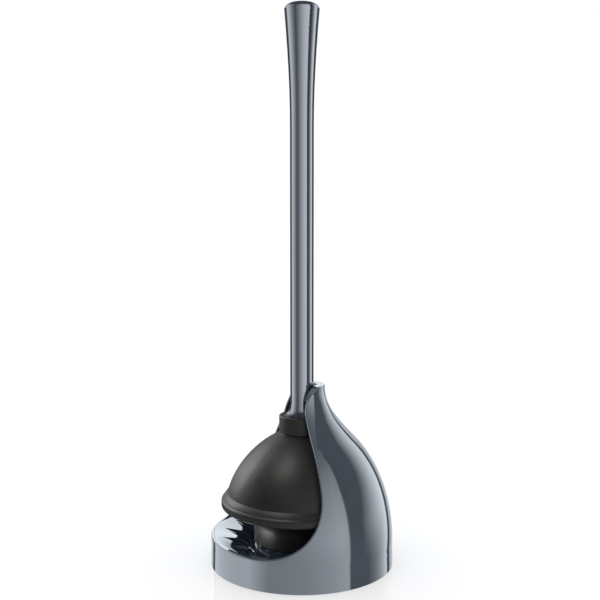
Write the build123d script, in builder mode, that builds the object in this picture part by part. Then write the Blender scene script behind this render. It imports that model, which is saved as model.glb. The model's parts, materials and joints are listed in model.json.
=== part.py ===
from build123d import *

import os
from math import radians, tan

# Toilet plunger standing in a bell-shaped caddy that is cut away at the front.
# Millimetres, +Z up.  The origin is on the floor, at the centre of the caddy, and the
# caddy opens toward -Y.  Every round piece turns about the Z axis.

# ---------------------------------------------------------------- driving dimensions

# Fits
contact_gap = 0.02            # between faces that rest on each other
press_gap = 0.05              # radial, between pieces pushed together by hand

# Caddy shell
foot_height = 0.5             # the shell's lower edge above the floor
base_radius = 83.0
rim_height = 27.0
shell_wall = 2.5
belly_start = (82.66, 18.5)   # the straight base wall ends here, (radius, height)
belly_lower = (82.56, 24.0)   # control points of the shell's outline
belly_upper = (85.25, 76.6)
shoulder = (48.1, 115.0)      # where the bell turns from bulging out to sweeping in
throat_lower = (27.3, 136.5)
throat_upper_height = 146.1
collar_radius = 20.8
collar_top = 163.3
top_bevel = 0.6               # bevel on the outer corner of the top
throat_end_height = collar_top - top_bevel
inset_slope = 0.7             # share of a wall's thickness along each axis at the shoulder

# Side outline of the front opening, (distance in front of the axis, height)
lip_start = (-7.2, 163.4)
lip_controls = ((-2.3, 158.9), (5.3, 151.5))
lip_end = (6.3, 138.0)        # from here the cut runs almost straight down the bell
sweep_start = (8.2, 81.7)
sweep_controls = ((9.35, 47.8), (36.2, 27.0))
sweep_end = 65.6              # the sweep meets the rim without a corner
outer_edge_radius = 0.9       # rounding of the opening's edge and the rim, outside
inner_edge_radius = 0.25      # and inside

# Slot low in the back of the shell
slot_length = 65.0
slot_height = 4.7
slot_centre_height = 23.9

# Collar, a thick ring in the top of the shell
collar_bore = 13.3
collar_bottom = 151.0
bore_bevel = 0.5              # at the bore's upper edge
magnet_radius = 5.0
magnet_thickness = 2.5
magnet_height = 157.2
magnet_web = 0.9              # collar material between the magnet and the bore

# Drip tray
tray_radius = 80.05
tray_top = 26.8
tray_skin = 2.0
bowl_edge = 78.4
channel_height = 14.8         # floor of the ring channel round the hub
land_controls = ((72.0, 25.7), (62.0, 22.2))
land_end = (48.7, 18.2)
under_edge = (78.9, 24.5)     # underside of the bowl, one skin or more below the flutes
under_controls = ((71.0, 23.2), (62.8, 14.6))
under_end = (50.8, 12.8)
hub_radius = 43.0
hub_top = 20.4
hub_foot_radius = 0.3         # fillet between the hub's side and the channel
hub_under_radius = 43.5
channel_edge = 48.2
flute_count = 18
first_flute_angle = 0.0       # puts a rib on the line that points out of the opening
flute_inner = 47.5            # distance from the axis at which flutes end
flute_tip = (73.4, 25.8)      # apex of the cone that hollows out a flute
flute_cone_angle = 40.0       # between the cone's side and its axis
flute_axis_rise = 15.4        # the cone's axis climbs inward by this angle
flute_cone_length = 34.0

# Base: plate, clamping screws and foot pads
ledge_bottom = 6.0
ledge_thickness = 3.0
plate_bottom = 2.5
plate_radius = 80.3
screw_circle = 70.0
screw_count = 4
first_screw_angle = 45.0
tab_radius = 8.0
tab_reach = 11.5              # from a screw's centre into the shell's wall
boss_radius = 5.0
pad_circle = 62.0
pad_radius = 9.0
pad_recess = 1.5
pad_edge_radius = 0.8
base_screw_radius = 2.0
base_screw_head_radius = 3.8
base_screw_head_height = 1.9
base_screw_length = 13.0
screw_clearance = 0.3         # radial, where a screw passes through
screw_head_recess = 2.0
pilot_depth = 9.0
drive_length = 4.4
drive_width = 1.0

# Rubber cup, (radius, height)
neck_radius = 20.6
neck_bore = 12.0
neck_top = 135.3
neck_edge_radius = 0.9
neck_foot_height = 120.5
neck_foot_radius = 0.9        # rounding under the neck, above the crease it makes with the dome
neck_crease = (20.0, 119.1)
dome_top = (23.0, 117.8)
dome_controls = ((43.3, 107.8), (61.6, 87.3))
dome_foot = (67.6, 65.2)
bead_edge = (71.1, 61.1)      # lower end of the bead's sloping top face
bead_groove = (71.05, 60.5)   # fine groove below it
bead_shoulder = (71.6, 60.1)
lip_radius = 73.3
lip_top = 57.4
lip_bottom = 54.6
lip_underside = (71.2, 52.4)
flange_root = (64.0, 50.8)
flange_radius = 43.7
flange_wall = 3.7
flange_straight_top = 36.0
flange_bottom = hub_top + contact_gap
flange_edge = 2.0             # outer rounding of the flange's lower edge
dome_inner_foot = (63.4, 64.0)
dome_inner_controls = ((57.8, 85.0), (40.5, 104.0))
crown_radius = 20.5
crown_height = 110.0

# Handle
total_height = 500.0
handle_radius = 10.5
tube_wall = 1.2
bell_radius = 16.2
bell_straight_height = 148.0
bell_controls = ((10.6, 141.0), (13.3, 137.0))
flare_start_height = 395.0
flare_controls = ((10.5, 430.0), (13.0, 466.0))
flare_radius = 15.6
flare_end_height = 493.6
cap_plug_radius = 12.9
cap_plug_bottom = 480.0
cap_bore = 10.9
cap_bore_top = 492.0
dome_cap_controls = ((15.6, 497.2), (11.5, 500.0))

# Core, washer and screw in the neck
core_tail_top = 185.0
core_flange_radius = 13.4
core_flange_height = 135.5
core_flange_top = (11.0, 137.4)
core_waist_height = 144.0
core_lead = 2.0
washer_radius = 18.0
washer_thickness = 2.0
cup_screw_radius = 4.0
cup_screw_end = 150.0
cup_screw_flats = 13.0
cup_screw_head_height = 5.3

os.makedirs("parts", exist_ok=True)


def save(solid, name):
    """Label a finished piece and write it to its own file."""
    solid.label = name
    export_step(solid, f"parts/{name}.step")


def belly_curve(inset):
    """Outline of the bell from the base wall up to the shoulder, set inward by inset."""
    slant = inset * inset_slope
    Bezier(
        (belly_start[0] - inset, belly_start[1]),
        (belly_lower[0] - inset, belly_lower[1]),
        (belly_upper[0] - slant, belly_upper[1] - slant),
        (shoulder[0] - slant, shoulder[1] - slant),
    )


def throat_curve(inset):
    """Outline of the throat from the shoulder up to the collar top, set inward by inset."""
    slant = inset * inset_slope
    Bezier(
        (shoulder[0] - slant, shoulder[1] - slant),
        (throat_lower[0] - slant, throat_lower[1] - slant),
        (collar_radius - inset, throat_upper_height),
        (collar_radius - inset, throat_end_height),
    )


# ---------------------------------------------------------------- front opening
# Seen from the side: a rounded lip at the top, an almost straight cut down the bell,
# and a sweep that runs out along the rim.  Everything in front of it is cut away.

with BuildSketch(Plane.YZ) as opening_side:
    with BuildLine():
        Bezier(
            (-lip_start[0], lip_start[1]),
            (-lip_controls[0][0], lip_controls[0][1]),
            (-lip_controls[1][0], lip_controls[1][1]),
            (-lip_end[0], lip_end[1]),
        )
        Line((-lip_end[0], lip_end[1]), (-sweep_start[0], sweep_start[1]))
        Bezier(
            (-sweep_start[0], sweep_start[1]),
            (-sweep_controls[0][0], sweep_controls[0][1]),
            (-sweep_controls[1][0], sweep_controls[1][1]),
            (-sweep_end, rim_height),
        )
        Polyline(
            (-sweep_end, rim_height),
            (-2 * base_radius, rim_height),
            (-2 * base_radius, 2 * collar_top),
            (-lip_start[0], 2 * collar_top),
            (-lip_start[0], lip_start[1]),
        )
    make_face()

# ---------------------------------------------------------------- caddy shell

with BuildPart() as caddy_shell:
    with BuildSketch(Plane.XZ):
        with BuildLine():
            Line((base_radius, foot_height), belly_start)
            belly_curve(0)
            throat_curve(0)
            Polyline(
                (collar_radius, throat_end_height),
                (collar_radius - top_bevel, collar_top),
                (collar_radius - shell_wall, collar_top),
                (collar_radius - shell_wall, throat_end_height),
            )
            throat_curve(shell_wall)
            belly_curve(shell_wall)
            Line((belly_start[0] - shell_wall, belly_start[1]), (base_radius - shell_wall, foot_height))
            Line((base_radius - shell_wall, foot_height), (base_radius, foot_height))
        make_face()
    revolve(axis=Axis.Z)
    extrude(opening_side.sketch, amount=2 * base_radius, both=True, mode=Mode.SUBTRACT)
    # the edge of the opening runs on from the rim without a corner, so it is rounded with it:
    # first the rim's inner arc, then the outer one, which lies further forward
    for arc, edge_radius in ((1, inner_edge_radius), (0, outer_edge_radius)):
        rim_arcs = caddy_shell.edges().filter_by_position(
            Axis.Z, rim_height - contact_gap, rim_height + contact_gap
        )
        fillet(rim_arcs.sort_by(Axis.Y)[arc], radius=edge_radius)
    with BuildSketch(Plane.XZ.offset(-shell_wall)):
        with Locations((0, slot_centre_height)):
            SlotOverall(slot_length, slot_height)
    extrude(amount=-base_radius, mode=Mode.SUBTRACT)
    with BuildSketch(Plane.XY.offset(ledge_bottom)):
        with PolarLocations(screw_circle, screw_count, first_screw_angle):
            Circle(tab_radius)
            with Locations((tab_reach / 2, 0)):
                Rectangle(tab_reach, 2 * tab_radius)
            Circle(base_screw_radius + screw_clearance, mode=Mode.SUBTRACT)
    extrude(amount=ledge_thickness)

save(caddy_shell.part, "caddy_shell")

# ---------------------------------------------------------------- collar

collar_inset = shell_wall + press_gap

with BuildPart() as collar:
    with BuildSketch(Plane.XZ):
        with BuildLine():
            throat_curve(collar_inset)
            Polyline(
                (collar_radius - collar_inset, throat_end_height),
                (collar_radius - collar_inset, collar_top),
                (0, collar_top),
                (0, shoulder[1] - collar_inset * inset_slope),
                (shoulder[0] - collar_inset * inset_slope, shoulder[1] - collar_inset * inset_slope),
            )
        make_face()
        with Locations((collar_bore, collar_bottom)):
            Rectangle(collar_radius, collar_top, align=(Align.MIN, Align.MIN), mode=Mode.INTERSECT)
        with BuildLine():
            Polyline(
                (collar_bore, collar_top),
                (collar_bore + bore_bevel, collar_top),
                (collar_bore, collar_top - bore_bevel),
                close=True,
            )
        make_face(mode=Mode.SUBTRACT)
    revolve(axis=Axis.Z)
    extrude(opening_side.sketch, amount=base_radius, both=True, mode=Mode.SUBTRACT)
    with BuildSketch(Plane.XZ.offset(-collar_bore - magnet_web)):
        with Locations((0, magnet_height)):
            Circle(magnet_radius + press_gap)
    extrude(amount=-collar_radius, mode=Mode.SUBTRACT)

save(collar.part, "collar")

with BuildPart() as collar_magnet:
    with BuildSketch(Plane.XZ.offset(-collar_bore - magnet_web - press_gap)):
        with Locations((0, magnet_height)):
            Circle(magnet_radius)
    extrude(amount=-magnet_thickness)

save(collar_magnet.part, "collar_magnet")

# ---------------------------------------------------------------- drip tray
# A bowl whose slope is hollowed by flutes.  Each flute is part of a cone: it is pointed at
# its outer end and widens inward until it meets its neighbours in a sharp rib.

with BuildPart() as tray_flutes:
    with PolarLocations(0, flute_count, first_flute_angle):
        with Locations(Location((flute_tip[0], 0, flute_tip[1]), (0, flute_axis_rise - 90, 0))):
            Cone(
                0,
                flute_cone_length * tan(radians(flute_cone_angle)),
                flute_cone_length,
                align=(Align.CENTER, Align.CENTER, Align.MIN),
            )
    with BuildSketch(Plane.XY.offset(channel_height)):
        Circle(bowl_edge)
        Circle(flute_inner, mode=Mode.SUBTRACT)
    extrude(amount=tray_top, mode=Mode.INTERSECT)

boss_bottom = ledge_bottom + ledge_thickness + contact_gap

with BuildPart() as drip_tray:
    with BuildSketch(Plane.XY.offset(boss_bottom)):
        with PolarLocations(screw_circle, screw_count, first_screw_angle):
            Circle(boss_radius)
    extrude(amount=tray_top - boss_bottom)
    with BuildSketch(Plane.XZ):
        with BuildLine():
            Polyline((0, hub_top), (hub_radius, hub_top), (hub_radius, channel_height + hub_foot_radius))
            RadiusArc(
                (hub_radius, channel_height + hub_foot_radius),
                (hub_radius + hub_foot_radius, channel_height),
                hub_foot_radius,
            )
            Polyline(
                (hub_radius + hub_foot_radius, channel_height),
                (channel_edge, channel_height),
                land_end,
            )
            Bezier((bowl_edge, tray_top), *land_controls, land_end)
            Polyline((bowl_edge, tray_top), (tray_radius, tray_top), (tray_radius, tray_top - tray_skin))
            Line((tray_radius, tray_top - tray_skin), under_edge)
            Bezier(under_edge, *under_controls, under_end)
            Line(under_end, (under_end[0] - 2 * tray_skin, under_end[1]))
            Bezier(
                (under_end[0] - 2 * tray_skin, under_end[1]),
                (hub_under_radius - tray_skin, under_end[1]),
                (hub_under_radius - tray_skin, hub_top - tray_skin),
                (hub_under_radius - 2 * tray_skin, hub_top - tray_skin),
            )
            Polyline(
                (hub_under_radius - 2 * tray_skin, hub_top - tray_skin),
                (0, hub_top - tray_skin),
                (0, hub_top),
            )
        make_face()
    revolve(axis=Axis.Z)
    with BuildSketch(Plane.XZ):
        with BuildLine():
            Bezier((bowl_edge, tray_top), *land_controls, land_end)
            Polyline(land_end, (land_end[0], 2 * tray_top), (bowl_edge, 2 * tray_top), (bowl_edge, tray_top))
        make_face()
    revolve(axis=Axis.Z, mode=Mode.SUBTRACT)
    add(tray_flutes.part, mode=Mode.SUBTRACT)
    with BuildSketch(Plane.XY.offset(boss_bottom)):
        with PolarLocations(screw_circle, screw_count, first_screw_angle):
            Circle(base_screw_radius + press_gap)
    extrude(amount=pilot_depth, mode=Mode.SUBTRACT)

save(drip_tray.part, "drip_tray")

# ---------------------------------------------------------------- base plate, screws and pads

with BuildPart() as base_plate:
    with BuildSketch(Plane.XY.offset(plate_bottom)):
        Circle(plate_radius)
    extrude(amount=ledge_bottom - contact_gap - plate_bottom)
    with BuildSketch(Plane.XY.offset(plate_bottom)):
        with PolarLocations(pad_circle, screw_count):
            Circle(pad_radius)
    extrude(amount=pad_recess, mode=Mode.SUBTRACT)
    with Locations(Plane((0, 0, plate_bottom), z_dir=(0, 0, -1))):
        with PolarLocations(screw_circle, screw_count, first_screw_angle):
            CounterBoreHole(base_screw_radius + screw_clearance, base_screw_head_radius + screw_clearance,
                            screw_head_recess)

save(base_plate.part, "base_plate")

with BuildPart() as foot_pads:
    with BuildSketch():
        with PolarLocations(pad_circle, screw_count):
            Circle(pad_radius - press_gap)
    extrude(amount=plate_bottom + pad_recess - contact_gap)
    fillet(foot_pads.edges().group_by(Axis.Z)[0], radius=pad_edge_radius)

save(foot_pads.part, "foot_pads")

head_seat = plate_bottom + screw_head_recess - contact_gap

with BuildPart() as base_screws:
    with BuildSketch(Plane.XY.offset(head_seat)):
        with PolarLocations(screw_circle, screw_count, first_screw_angle):
            Circle(base_screw_head_radius)
    extrude(amount=-base_screw_head_height)
    fillet(base_screws.edges().group_by(Axis.Z)[0], radius=base_screw_head_height / 3)
    with BuildSketch(Plane.XY.offset(head_seat)):
        with PolarLocations(screw_circle, screw_count, first_screw_angle):
            Circle(base_screw_radius)
    extrude(amount=base_screw_length)
    chamfer(base_screws.edges().group_by(Axis.Z)[-1], length=base_screw_radius / 3)
    with BuildSketch(Plane.XY.offset(head_seat - base_screw_head_height)):
        with PolarLocations(screw_circle, screw_count, first_screw_angle):
            Rectangle(drive_length, drive_width)
            Rectangle(drive_width, drive_length)
    extrude(amount=base_screw_head_height / 2, mode=Mode.SUBTRACT)

save(base_screws.part, "base_screws")

# ---------------------------------------------------------------- rubber cup
# One moulding: neck, dome, bead round the rim, and a flange that hangs below it.

with BuildPart() as rubber_cup:
    with BuildSketch(Plane.XZ):
        with BuildLine():
            Line((neck_bore, neck_top), (neck_radius - neck_edge_radius, neck_top))
            RadiusArc(
                (neck_radius - neck_edge_radius, neck_top),
                (neck_radius, neck_top - neck_edge_radius),
                neck_edge_radius,
            )
            Line((neck_radius, neck_top - neck_edge_radius), (neck_radius, neck_foot_height))
            RadiusArc(
                (neck_radius, neck_foot_height),
                (neck_radius - neck_foot_radius, neck_foot_height - neck_foot_radius),
                neck_foot_radius,
            )
            Line((neck_radius - neck_foot_radius, neck_foot_height - neck_foot_radius), neck_crease)
            Bezier(neck_crease, (neck_crease[0] + 1.2, neck_crease[1] - 0.8), dome_top)
            Bezier(dome_top, *dome_controls, dome_foot)
            Bezier(dome_foot, (dome_foot[0] + 2.2, dome_foot[1] - 2.0), bead_edge)
            Polyline(bead_edge, bead_groove, bead_shoulder)
            Bezier(bead_shoulder, (lip_radius, lip_top + 1.5), (lip_radius, lip_top))
            Line((lip_radius, lip_top), (lip_radius, lip_bottom))
            Bezier((lip_radius, lip_bottom), (lip_radius, lip_underside[1] + 0.4), lip_underside)
            Line(lip_underside, flange_root)
            Bezier(
                flange_root,
                (flange_root[0] - 12, flange_root[1] - 2.3),
                (flange_radius, flange_root[1] - 4.8),
                (flange_radius, flange_straight_top),
            )
            Line((flange_radius, flange_straight_top), (flange_radius, flange_bottom + flange_edge))
            RadiusArc(
                (flange_radius, flange_bottom + flange_edge),
                (flange_radius - flange_edge, flange_bottom),
                flange_edge,
            )
            RadiusArc(
                (flange_radius - flange_edge, flange_bottom),
                (flange_radius - flange_wall, flange_bottom + flange_wall - flange_edge),
                flange_wall - flange_edge,
            )
            Line(
                (flange_radius - flange_wall, flange_bottom + flange_wall - flange_edge),
                (flange_radius - flange_wall, flange_straight_top + 1),
            )
            Bezier(
                (flange_radius - flange_wall, flange_straight_top + 1),
                (flange_radius - flange_wall, flange_root[1] - 1.3),
                (flange_root[0] - 13, flange_root[1] + 1.4),
                (flange_root[0] - 3.5, flange_root[1] + 3.4),
            )
            Bezier(
                (flange_root[0] - 3.5, flange_root[1] + 3.4),
                (dome_inner_foot[0] + 0.6, flange_root[1] + 4.6),
                dome_inner_foot,
            )
            Bezier(dome_inner_foot, *dome_inner_controls, (crown_radius, crown_height))
            Polyline((crown_radius, crown_height), (neck_bore, crown_height), (neck_bore, neck_top))
        make_face()
    revolve(axis=Axis.Z)

save(rubber_cup.part, "rubber_cup")

# ---------------------------------------------------------------- handle


def tube_side(inset):
    """Side of the handle from the foot of the bell to the top of the flare, set in by inset."""
    Bezier(
        (bell_radius - inset, bell_bottom),
        (bell_controls[1][0] - inset, bell_controls[1][1]),
        (bell_controls[0][0] - inset, bell_controls[0][1]),
        (handle_radius - inset, bell_straight_height),
    )
    Line((handle_radius - inset, bell_straight_height), (handle_radius - inset, flare_start_height))
    Bezier(
        (handle_radius - inset, flare_start_height),
        (flare_controls[0][0] - inset, flare_controls[0][1]),
        (flare_controls[1][0] - inset, flare_controls[1][1]),
        (flare_radius - inset, flare_end_height),
    )


bell_bottom = neck_top + contact_gap

with BuildPart() as handle_tube:
    with BuildSketch(Plane.XZ):
        with BuildLine():
            tube_side(0)
            Line((flare_radius, flare_end_height), (flare_radius - tube_wall, flare_end_height))
            tube_side(tube_wall)
            Line((bell_radius - tube_wall, bell_bottom), (bell_radius, bell_bottom))
        make_face()
    revolve(axis=Axis.Z)

save(handle_tube.part, "handle_tube")

with BuildPart() as handle_cap:
    with BuildSketch(Plane.XZ):
        with BuildLine():
            cap_seat = flare_end_height + contact_gap
            Bezier((flare_radius, cap_seat), *dome_cap_controls, (0, total_height))
            Polyline(
                (0, total_height),
                (0, cap_bore_top),
                (cap_bore, cap_bore_top),
                (cap_bore, cap_plug_bottom),
                (cap_plug_radius, cap_plug_bottom),
                (cap_plug_radius, cap_seat),
                (flare_radius, cap_seat),
            )
        make_face()
    revolve(axis=Axis.Z)

save(handle_cap.part, "handle_cap")

# ---------------------------------------------------------------- neck core, washer and screw

with BuildPart() as neck_core:
    with BuildSketch(Plane.XZ):
        with BuildLine():
            Polyline(
                (0, crown_height + contact_gap),
                (neck_bore - press_gap, crown_height + contact_gap),
                (neck_bore - press_gap, neck_top + contact_gap),
                (core_flange_radius, neck_top + contact_gap),
                (core_flange_radius, core_flange_height),
                core_flange_top,
                (handle_radius - tube_wall - press_gap, core_waist_height),
                (handle_radius - tube_wall - press_gap, core_tail_top - core_lead),
                (handle_radius - tube_wall - press_gap - core_lead, core_tail_top),
                (0, core_tail_top),
                (0, crown_height + contact_gap),
            )
        make_face()
    revolve(axis=Axis.Z)
    with BuildSketch(Plane.XY.offset(crown_height)):
        Circle(cup_screw_radius + press_gap)
    extrude(amount=cup_screw_end + 2 - crown_height, mode=Mode.SUBTRACT)

save(neck_core.part, "neck_core")

with BuildPart() as cup_washer:
    with BuildSketch(Plane.XY.offset(crown_height - contact_gap)):
        Circle(washer_radius)
        Circle(cup_screw_radius + screw_clearance, mode=Mode.SUBTRACT)
    extrude(amount=-washer_thickness)

save(cup_washer.part, "cup_washer")

screw_seat = crown_height - washer_thickness - 2 * contact_gap

with BuildPart() as cup_screw:
    with BuildSketch(Plane.XY.offset(screw_seat)):
        RegularPolygon(cup_screw_flats / 2, 6, major_radius=False)
    extrude(amount=-cup_screw_head_height)
    with BuildSketch(Plane.XY.offset(screw_seat)):
        Circle(cup_screw_radius)
    extrude(amount=cup_screw_end - screw_seat)
    chamfer(cup_screw.edges().group_by(Axis.Z)[-1], length=cup_screw_radius / 5)

save(cup_screw.part, "cup_screw")
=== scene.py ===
import json
import math
from bisect import bisect_left, bisect_right

import bpy
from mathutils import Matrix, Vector


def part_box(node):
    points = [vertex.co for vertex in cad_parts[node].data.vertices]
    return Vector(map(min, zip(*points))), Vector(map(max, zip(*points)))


# A toilet plunger standing in its caddy on a pale floor.  Its gloss pieces mirror a studio:
# a drum of light panels, dark flags and a white backdrop that only reflections see.
# Lengths are in metres and light directions in degrees round the object, 0 at the camera
# and positive to the right of the picture.

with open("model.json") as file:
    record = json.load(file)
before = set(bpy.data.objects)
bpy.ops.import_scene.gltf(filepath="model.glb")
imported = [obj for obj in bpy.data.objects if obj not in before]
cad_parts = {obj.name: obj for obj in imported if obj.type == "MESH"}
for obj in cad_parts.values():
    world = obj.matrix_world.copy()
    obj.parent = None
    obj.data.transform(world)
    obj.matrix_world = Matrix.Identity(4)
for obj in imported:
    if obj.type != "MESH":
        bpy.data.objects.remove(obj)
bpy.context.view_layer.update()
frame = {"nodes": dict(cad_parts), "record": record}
nodes = frame["nodes"]
MM = 0.001

VIEW_AZIMUTH = math.radians(69.5)
TO_CAMERA = Vector((math.sin(VIEW_AZIMUTH), -math.cos(VIEW_AZIMUTH), 0.0))
TO_RIGHT = Vector((math.cos(VIEW_AZIMUTH), math.sin(VIEW_AZIMUTH), 0.0))
UP = Vector((0.0, 0.0, 1.0))


# ------------------------------------------------------------------ node helpers
class Graph:
    """A small writer of shader node trees."""

    CURVE_TOP = 4.0  # highest value that a curve can give

    def __init__(self, tree):
        self.tree = tree
        tree.nodes.clear()

    def node(self, kind, **settings):
        made = self.tree.nodes.new("ShaderNode" + kind)
        for name, value in settings.items():
            setattr(made, name, value)
        return made

    def put(self, socket, value):
        if isinstance(value, bpy.types.NodeSocket):
            self.tree.links.new(value, socket)
        else:
            socket.default_value = value

    def math(self, operation, a, b=0.0):
        made = self.node("Math", operation=operation)
        self.put(made.inputs[0], a)
        self.put(made.inputs[1], b)
        return made.outputs[0]

    def dot(self, a, b):
        made = self.node("VectorMath", operation="DOT_PRODUCT")
        self.put(made.inputs[0], a)
        self.put(made.inputs[1], b)
        return made.outputs["Value"]

    def both(self, a, b):
        """1 where a and b are both 1."""
        return self.math("MULTIPLY", a, b)

    def between(self, value, low, high):
        """1 where the value is between the two limits, else 0."""
        return self.both(self.math("GREATER_THAN", value, low), self.math("LESS_THAN", value, high))

    def remap(self, value, low, high, to_low=0.0, to_high=1.0):
        """to_low up to low, to_high from high on, and a straight line between them."""
        made = self.node("MapRange")
        for socket, setting in zip(made.inputs, (value, low, high, to_low, to_high)):
            self.put(socket, setting)
        return made.outputs[0]

    def blend(self, factor, a, b):
        """a where factor is 0, b where it is 1."""
        made = self.node("Mix", data_type="FLOAT")
        self.put(made.inputs[0], factor)
        self.put(made.inputs[2], a)
        self.put(made.inputs[3], b)
        return made.outputs[0]

    def blend_colour(self, factor, a, b):
        """Colour a where factor is 0, b where it is 1."""
        made = self.node("Mix", data_type="RGBA")
        self.put(made.inputs[0], factor)
        self.put(made.inputs[6], (*a, 1.0) if isinstance(a, tuple) else a)
        self.put(made.inputs[7], (*b, 1.0))
        return made.outputs[2]

    def curve(self, value, points):
        """Straight lines through (x, y) points."""
        low, high = points[0][0], points[-1][0]
        made = self.node("FloatCurve")
        self.put(made.inputs["Value"], self.remap(value, low, high))
        line = made.mapping.curves[0].points
        wanted = [((x - low) / (high - low), y / self.CURVE_TOP) for x, y in points]
        line[0].location = wanted[0]
        line[1].location = wanted[-1]
        for place in wanted[1:-1]:
            line.new(*place)
        for point in line:
            point.handle_type = "VECTOR"
        made.mapping.update()
        return self.math("MULTIPLY", made.outputs[0], self.CURVE_TOP)

    def noise(self, where, scale, detail, roughness=0.5):
        made = self.node("TexNoise")
        made.inputs["Scale"].default_value = scale
        made.inputs["Detail"].default_value = detail
        made.inputs["Roughness"].default_value = roughness
        self.put(made.inputs["Vector"], where)
        return made.outputs["Fac"]

    def bump(self, height, depth):
        made = self.node("Bump")
        made.inputs["Distance"].default_value = depth
        made.inputs["Strength"].default_value = 1.0
        self.put(made.inputs["Height"], height)
        return made.outputs["Normal"]

    def finish(self, shader):
        out = self.node("OutputMaterial")
        self.tree.links.new(shader.outputs[0], out.inputs["Surface"])

    def surface(self, **inputs):
        shader = self.node("BsdfPrincipled")
        for name, value in inputs.items():
            self.put(shader.inputs[name.replace("_", " ")], value)
        self.finish(shader)


def new_material(name):
    made = bpy.data.materials.new(name)
    made.use_nodes = True
    return made, Graph(made.node_tree)


def scaled(colour, share):
    return tuple(part * share for part in colour)


# ------------------------------------------------------------------ materials
DUST = (0.5, 0.5, 0.5)


def gloss(name, colour, ior, roughness, peel):
    """High-gloss moulded plastic or paint: faint orange peel, fine dust and polishing haze."""
    made, g = new_material(name)
    where = g.node("TexCoord").outputs["Object"]
    wave = g.noise(where, scale=60.0, detail=1.0)
    haze = g.noise(where, scale=35.0, detail=4.0, roughness=0.6)
    specks = g.noise(where, scale=1900.0, detail=1.0)
    tone = g.noise(where, scale=9.0, detail=2.0)
    base = g.blend_colour(g.remap(tone, 0.3, 0.7, to_high=0.10), colour, scaled(colour, 0.8))
    base = g.blend_colour(g.remap(specks, 0.72, 0.80, to_high=0.02), base, DUST)
    g.surface(
        Base_Color=base,
        Roughness=g.remap(haze, 0.35, 0.75, roughness, roughness * 1.4),
        IOR=ior,
        Normal=g.bump(wave, peel),
    )
    return made


def rubber(name, colour, roughness, grain, ior=1.5):
    """Moulded black rubber: matte skin with a fine grain and cloudy sheen."""
    made, g = new_material(name)
    where = g.node("TexCoord").outputs["Object"]
    cloud = g.noise(where, scale=38.0, detail=5.0, roughness=0.62)
    fine = g.noise(where, scale=1500.0, detail=2.0, roughness=0.6)
    g.surface(
        Base_Color=g.blend_colour(g.remap(cloud, 0.35, 0.7), colour, scaled(colour, 1.35)),
        Roughness=g.remap(cloud, 0.3, 0.75, roughness * 0.92, roughness * 1.12),
        IOR=ior,
        Specular_Tint=(1.0, 0.95, 0.90, 1.0),
        Normal=g.bump(fine, grain),
    )
    return made


def plated(name, dark, bright):
    """Zinc-plated steel with fine turning marks round the vertical axis."""
    made, g = new_material(name)
    where = g.node("TexCoord").outputs["Object"]
    streak = g.node("Mapping")
    streak.inputs["Scale"].default_value = (1.0, 1.0, 12.0)
    g.put(streak.inputs["Vector"], where)
    marks = g.noise(streak.outputs[0], scale=400.0, detail=3.0, roughness=0.6)
    patch = g.noise(where, scale=90.0, detail=3.0)
    g.surface(
        Base_Color=g.blend_colour(patch, dark, bright),
        Metallic=1.0,
        Roughness=g.remap(marks, 0.3, 0.7, 0.24, 0.42),
        Normal=g.bump(marks, 0.02 * MM),
    )
    return made


def moulded(name, colour):
    """Matte plastic with spark-eroded mould texture."""
    made, g = new_material(name)
    where = g.node("TexCoord").outputs["Object"]
    grain = g.noise(where, scale=1200.0, detail=2.0, roughness=0.55)
    cloud = g.noise(where, scale=30.0, detail=3.0)
    g.surface(
        Base_Color=g.blend_colour(cloud, colour, scaled(colour, 1.4)),
        Roughness=g.remap(grain, 0.3, 0.7, 0.45, 0.62),
        Normal=g.bump(grain, 0.04 * MM),
    )
    return made


GUNMETAL = (0.047, 0.058, 0.072)
CADDY_GREY = scaled(GUNMETAL, 1.1)
HANDLE_GREY = scaled(GUNMETAL, 0.75)
NAVY = (0.030, 0.045, 0.066)
CARBON_BLACK = (0.008, 0.008, 0.008)
DARK_GREY = (0.030, 0.030, 0.030)
GRAPHITE = (0.030, 0.032, 0.036)

looks = {
    "caddy_gloss": gloss("caddy_gloss_look", CADDY_GREY, ior=1.92, roughness=0.04, peel=0.001 * MM),
    "handle_paint": gloss("handle_paint_look", HANDLE_GREY, ior=2.45, roughness=0.04, peel=0.0003 * MM),
    "tray_gloss": gloss("tray_gloss_look", NAVY, ior=1.92, roughness=0.05, peel=0.001 * MM),
    "cup_rubber": rubber("cup_rubber_look", CARBON_BLACK, roughness=0.40, grain=0.03 * MM, ior=1.33),
    "foot_rubber": rubber("foot_rubber_look", DARK_GREY, roughness=0.6, grain=0.05 * MM),
    "hidden_plastic": moulded("hidden_plastic_look", GRAPHITE),
    "plated_steel": plated("plated_steel_look", dark=(0.50, 0.50, 0.49), bright=(0.62, 0.62, 0.60)),
}
slot_of = {row["node"]: row["material_slot"] for row in frame["record"]["subparts"]}
for name, piece in nodes.items():
    piece.data.materials.clear()
    piece.data.materials.append(looks[slot_of[name]])


# ------------------------------------------------------------------ floor
def stage_mesh(name, corners, faces, material):
    """A stage piece, which is no part of the object."""
    mesh = bpy.data.meshes.new(name)
    mesh.from_pydata(corners, [], faces)
    mesh.materials.append(material)
    made = bpy.data.objects.new(name, mesh)
    bpy.context.collection.objects.link(made)
    return made


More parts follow.
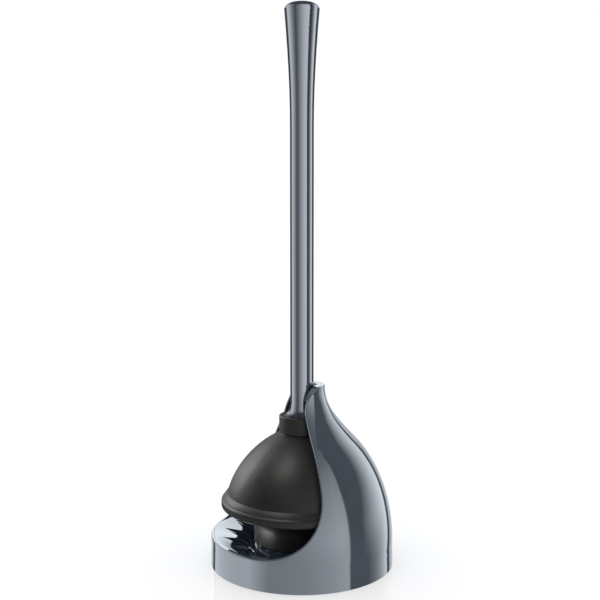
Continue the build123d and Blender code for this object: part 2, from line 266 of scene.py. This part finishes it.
def pale_floor():
    """White floor, lit from within so that it fades into the room, with a weak mirror."""
    made, g = new_material("pale_floor")
    glow = g.node("Emission")
    glow.inputs["Strength"].default_value = 1.15
    skin = g.node("BsdfPrincipled")
    skin.inputs["Base Color"].default_value = (0.95, 0.95, 0.955, 1.0)
    skin.inputs["Roughness"].default_value = 0.12
    mixer = g.node("MixShader")
    mixer.inputs[0].default_value = 0.6
    g.tree.links.new(glow.outputs[0], mixer.inputs[1])
    g.tree.links.new(skin.outputs[0], mixer.inputs[2])
    g.finish(mixer)
    return made


FLOOR_HALF = 15.0
floor_corners = [(x * FLOOR_HALF, y * FLOOR_HALF, 0.0) for x, y in ((-1, -1), (1, -1), (1, 1), (-1, 1))]
floor = stage_mesh("floor", floor_corners, [(0, 1, 2, 3)], pale_floor())
floor.visible_glossy = False

# ------------------------------------------------------------------ studio light
# Light round the object as (direction, strength).  The strengths are rounded values, fitted so
# that the gloss pieces show about the tones that they have in the photograph
LEVEL_LIGHT = (
    (-180, 2.3), (-100, 2.3), (-43, 0.2), (-20, 0.78), (6, 1.6), (40, 2.5), (49.5, 2.4),
    (51.5, 0.09), (68, 0.09), (92, 2.0), (106, 2.7), (180, 2.8),
)
LOW_LIGHT = (
    (-180, 1.7), (-117, 1.8), (-57, 2.6), (-34, 1.15), (0, 1.33), (30, 1.85), (50, 2.35),
    (52, 0.18), (76, 0.18), (90, 0.82), (110, 2.1), (130, 2.5), (180, 2.6),
)
HANDLE_LIGHT = (
    (-180, 0.05), (-121, 0.05), (-112, 1.5), (-104, 2.2), (-96, 2.1), (-77, 1.3), (-65, 0.8),
    (-53, 0.36), (-43, 0.14), (-23, 0.7), (-4, 1.3), (15, 1.9), (38, 2.4), (51.5, 2.4),
    (54, 0.04), (67, 0.04), (78, 0.58), (91, 1.95), (103, 2.8), (110, 2.2), (119, 0.05), (180, 0.05),
)
# share of the light that is left at an elevation, on the camera's side
CEILING_FADE = ((-90, 1.0), (0, 1.0), (40, 0.5), (50, 0.32), (64, 0.15), (75, 0.06), (90, 0.06))
LOW_ELEVATIONS = (-20, -5)  # LOW_LIGHT fades into LEVEL_LIGHT between them
RIGHT_PANEL = 60.0          # the panel on the right starts here
RIGHT_PANEL_LEAN = 0.7      # and moves round by this share of a ray's elevation
SHOULDER = (85 * MM, 125 * MM)
SHOULDER_TURN = 6.0         # the other panels turn by this much over the shoulder's height
THROAT = (134 * MM, 150 * MM)
THROAT_TURN = 12.0          # and the right-hand panel and flag by this much over the throat's
RIGHT_FLAG, LEFT_FLAG = 129.0, -126.0
FLAG_LEAN = 0.45
FLAG_HALF_WIDTH = 3.0
FLAG_SOFTNESS = 3.0
FLAG_LIGHT = 0.08
BACKDROP_ELEVATIONS, BACKDROP_LIGHT = (6, 18), (1.0, 3.2)
HANDLE_CEILING, HANDLE_CEILING_LIGHT = (25, 50), (1.0, 0.05)
HANDLE_BACK = (117, 121)    # behind the handle there is only a window high in the flag
WINDOW_FOOT, WINDOW_TOP, WINDOW_LIGHT = (8, 14), (35, 50), 1.6
CUP_LEFT, CUP_LEFT_SHARE = (-60, -20), 0.25  # the rubber keeps this share of the light on its left
HUB_LIGHT = 0.08
FLOOR_LIGHT = 1.0
LIGHT_COLOUR = (0.93, 1.0, 1.08, 1.0)

# Each piece has light of its own.  The height and the distance from the axis at which a
# reflected ray left the object tell which piece mirrors the studio
TUBE_RADIUS = 10.5 * MM
HANDLE_SPARE = 3.3 * MM  # round the widest part of the handle
TUBE_SPARE = 1.0 * MM    # round the tube, where the collar is close
SKIN = 0.7 * MM
HUB_REACH = 43.4 * MM
hub_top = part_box("rubber_cup")[0].z - 0.1 * MM
handle_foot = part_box("handle_tube")[0].z - SKIN
handle_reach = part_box("handle_tube")[1].x + HANDLE_SPARE
collar_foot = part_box("collar")[0].z - SKIN
collar_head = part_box("collar")[1].z + SKIN


def outline(piece, levels):
    """(height, radius) pairs: how far the piece reaches from the axis at each height."""
    mesh = piece.data
    reach_at = [0.0] * len(levels)
    places = [(corner.co.z, corner.co.xy.length) for corner in mesh.vertices]
    for edge in mesh.edges:
        (low, near), (high, far) = sorted(places[i] for i in edge.vertices)
        if high == low:
            continue
        for row in range(bisect_left(levels, low), bisect_right(levels, high)):
            across = near + (far - near) * (levels[row] - low) / (high - low)
            reach_at[row] = max(reach_at[row], across)
    return list(zip(levels, reach_at))


# the cup's outline as a curve: height in metres, radius in tenths of a metre.  It runs out
# over the handle's foot, which stands in the cup's shade
OUTLINE_UNIT = 0.1
OUTLINE_STEP = 1.0 * MM
SHADE_ABOVE_CUP = 4.7 * MM
cup_foot, cup_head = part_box("rubber_cup")[0].z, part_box("rubber_cup")[1].z
step_count = round((cup_head - cup_foot) / OUTLINE_STEP)
levels = [cup_foot + (cup_head - cup_foot) * (i + 0.5) / step_count for i in range(step_count)]
cup_outline = [(z, (r + SKIN) / OUTLINE_UNIT) for z, r in outline(nodes["rubber_cup"], levels)]
cup_outline.insert(0, (0.0, cup_outline[0][1]))
cup_outline += [(cup_head, cup_outline[-1][1]), (cup_head + SHADE_ABOVE_CUP, 0.0)]


def where_from(g, place, toward):
    """Height and distance from the axis of the point where a reflected ray left the object."""
    back = g.node("VectorMath", operation="SCALE")
    g.put(back.inputs[0], toward)
    g.put(back.inputs["Scale"], g.node("LightPath").outputs["Ray Length"])
    origin = g.node("VectorMath", operation="ADD")
    g.put(origin.inputs[0], place)
    g.put(origin.inputs[1], back.outputs[0])
    origin = origin.outputs[0]
    east, north = g.dot(origin, (1, 0, 0)), g.dot(origin, (0, 1, 0))
    squares = g.math("ADD", g.math("MULTIPLY", east, east), g.math("MULTIPLY", north, north))
    return g.dot(origin, UP), g.math("SQRT", squares)


def caddy_light(g, around, rise, height):
    """Panels, faded toward the ceiling, then flags, then the white backdrop."""
    throat_turn = g.remap(height, *THROAT, 0.0, THROAT_TURN)
    lean = g.math("MULTIPLY", g.math("MAXIMUM", rise, 0.0), RIGHT_PANEL_LEAN)
    panel = g.math("SUBTRACT", g.math("SUBTRACT", around, throat_turn), lean)
    panel = g.math("MAXIMUM", panel, RIGHT_PANEL)
    turned = g.math("SUBTRACT", around, g.remap(height, *SHOULDER, 0.0, SHOULDER_TURN))
    on_right = g.math("GREATER_THAN", around, RIGHT_PANEL)
    direction = g.blend(on_right, turned, panel)
    light = g.blend(
        g.remap(rise, *LOW_ELEVATIONS), g.curve(direction, LOW_LIGHT), g.curve(direction, LEVEL_LIGHT)
    )
    light = g.math("MULTIPLY", light, g.blend(on_right, g.curve(rise, CEILING_FADE), 1.0))
    right_flag = g.math("ADD", g.math("ADD", RIGHT_FLAG, throat_turn), g.math("MULTIPLY", rise, FLAG_LEAN))
    past = g.math("MAXIMUM", g.math("SUBTRACT", around, right_flag), g.math("SUBTRACT", LEFT_FLAG, around))
    outer = FLAG_HALF_WIDTH + FLAG_SOFTNESS
    light = g.blend(g.remap(past, -outer, -FLAG_HALF_WIDTH), light, FLAG_LIGHT)
    backdrop = g.remap(rise, *BACKDROP_ELEVATIONS, *BACKDROP_LIGHT)
    return g.blend(g.remap(past, FLAG_HALF_WIDTH, outer), light, backdrop)


def handle_light(g, around, rise):
    """Tall panels, and flags that meet behind the handle under a window."""
    ceiling = g.remap(rise, *HANDLE_CEILING, *HANDLE_CEILING_LIGHT)
    light = g.math("MULTIPLY", g.curve(around, HANDLE_LIGHT), ceiling)
    behind = g.remap(g.math("ABSOLUTE", around), *HANDLE_BACK)
    window = g.math("MULTIPLY", g.remap(rise, *WINDOW_FOOT), g.remap(rise, *WINDOW_TOP, WINDOW_LIGHT, 0.0))
    return g.math("ADD", light, g.math("MULTIPLY", behind, window))


def studio_light():
    """Light as seen by each piece: caddy, handle, rubber cup, the tray's hub and the floor."""
    made, g = new_material("studio_light")
    geometry = g.node("NewGeometry")
    place, toward = geometry.outputs["Position"], geometry.outputs["Incoming"]
    around = g.math("DEGREES", g.math("ARCTAN2", g.dot(place, TO_RIGHT), g.dot(place, TO_CAMERA)))
    rise = g.math("DEGREES", g.math("ARCSINE", g.dot(toward, -UP)))
    height, reach = where_from(g, place, toward)

    light = caddy_light(g, around, rise, height)

    in_collar = g.between(height, collar_foot, collar_head)
    slim = g.math("LESS_THAN", reach, g.blend(in_collar, handle_reach, TUBE_RADIUS + TUBE_SPARE))
    on_handle = g.both(slim, g.math("GREATER_THAN", height, handle_foot))
    light = g.blend(on_handle, light, handle_light(g, around, rise))

    # on its left the rubber has lamps instead
    cup_reach = g.math("MULTIPLY", g.curve(height, cup_outline), OUTLINE_UNIT)
    on_cup = g.both(g.math("LESS_THAN", reach, cup_reach), g.math("GREATER_THAN", height, hub_top))
    cup_share = g.blend(g.remap(around, *CUP_LEFT, 1.0, 0.0), 1.0, CUP_LEFT_SHARE)
    light = g.blend(on_cup, light, g.math("MULTIPLY", light, cup_share))

    on_hub = g.both(g.math("LESS_THAN", reach, HUB_REACH), g.math("LESS_THAN", height, hub_top))
    light = g.blend(on_hub, light, HUB_LIGHT)
    from_floor = g.math("LESS_THAN", height, 0.3 * MM)
    light = g.blend(from_floor, light, FLOOR_LIGHT)

    glow = g.node("Emission")
    glow.inputs["Color"].default_value = LIGHT_COLOUR
    g.put(glow.inputs["Strength"], light)
    g.finish(glow)
    return made


DRUM_RADIUS = 0.24
DRUM_BOTTOM, DRUM_TOP = -0.6, 8.0
DRUM_SIDES = 180
turns = [2 * math.pi * i / DRUM_SIDES for i in range(DRUM_SIDES)]
ring = [(DRUM_RADIUS * math.cos(turn), DRUM_RADIUS * math.sin(turn)) for turn in turns]
drum_corners = [(x, y, z) for z in (DRUM_BOTTOM, DRUM_TOP) for x, y in ring]
drum_faces = []
for side in range(DRUM_SIDES):
    following = (side + 1) % DRUM_SIDES
    drum_faces.append((side, following, DRUM_SIDES + following, DRUM_SIDES + side))
drum = stage_mesh("studio_drum", drum_corners, drum_faces, studio_light())
drum.visible_camera = False
drum.visible_diffuse = False
drum.visible_shadow = False
drum.visible_transmission = False
drum.visible_volume_scatter = False

world = bpy.data.worlds.new("white_room")
bpy.context.scene.world = world
world.use_nodes = True
world.node_tree.nodes["Background"].inputs["Color"].default_value = (1.0, 1.0, 1.0, 1.0)
world.node_tree.nodes["Background"].inputs["Strength"].default_value = 1.0

# ------------------------------------------------------------------ lamps for the rubber
rubber_pieces = bpy.data.collections.new("rubber_pieces")
rubber_pieces.objects.link(nodes["rubber_cup"])


def rubber_lamp(name, azimuth, elevation, distance, aim, size, watts):
    """Soft lamp that falls on the rubber only, aimed at a height on the axis."""
    data = bpy.data.lights.new(name, "AREA")
    data.shape = "RECTANGLE"
    data.size, data.size_y = size
    data.energy = watts
    lamp = bpy.data.objects.new(name, data)
    bpy.context.collection.objects.link(lamp)
    turn, climb = math.radians(azimuth), math.radians(elevation)
    level_way = TO_CAMERA * math.cos(turn) + TO_RIGHT * math.sin(turn)
    toward_lamp = level_way * math.cos(climb) + UP * math.sin(climb)
    lamp.location = UP * aim + toward_lamp * distance
    lamp.rotation_mode = "QUATERNION"
    lamp.rotation_quaternion = (-toward_lamp).to_track_quat("-Z", "Y")
    lamp.light_linking.receiver_collection = rubber_pieces
    lamp.visible_camera = False


rubber_lamp("side_light", -126, 20, distance=0.60, aim=0.085, size=(0.16, 0.40), watts=3.2)
rubber_lamp("key_light", -54, 62, distance=0.70, aim=0.085, size=(0.22, 0.26), watts=2.4)
rubber_lamp("skirt_light", -63, -6, distance=0.069, aim=0.037, size=(0.034, 0.016), watts=0.020)

# ------------------------------------------------------------------ camera
CAMERA_DISTANCE = 0.850
CAMERA_HEIGHT = 0.3222
CAMERA_PITCH = math.radians(5.56)
SENSOR_WIDTH, LENS = 36.0, 57.24  # millimetres
SIDEWAYS_SHIFT = -0.00317         # share of the picture's width
camera_data = bpy.data.cameras.new("camera")
camera_data.sensor_width = SENSOR_WIDTH
camera_data.lens = LENS
camera_data.shift_x = SIDEWAYS_SHIFT
camera = bpy.data.objects.new("camera", camera_data)
bpy.context.collection.objects.link(camera)
camera.location = TO_CAMERA * CAMERA_DISTANCE + UP * CAMERA_HEIGHT
gaze = -TO_CAMERA * math.cos(CAMERA_PITCH) - UP * math.sin(CAMERA_PITCH)
camera.rotation_mode = "QUATERNION"
camera.rotation_quaternion = gaze.to_track_quat("-Z", "Y")
bpy.context.scene.camera = camera
bpy.context.scene.view_settings.view_transform = "Standard"
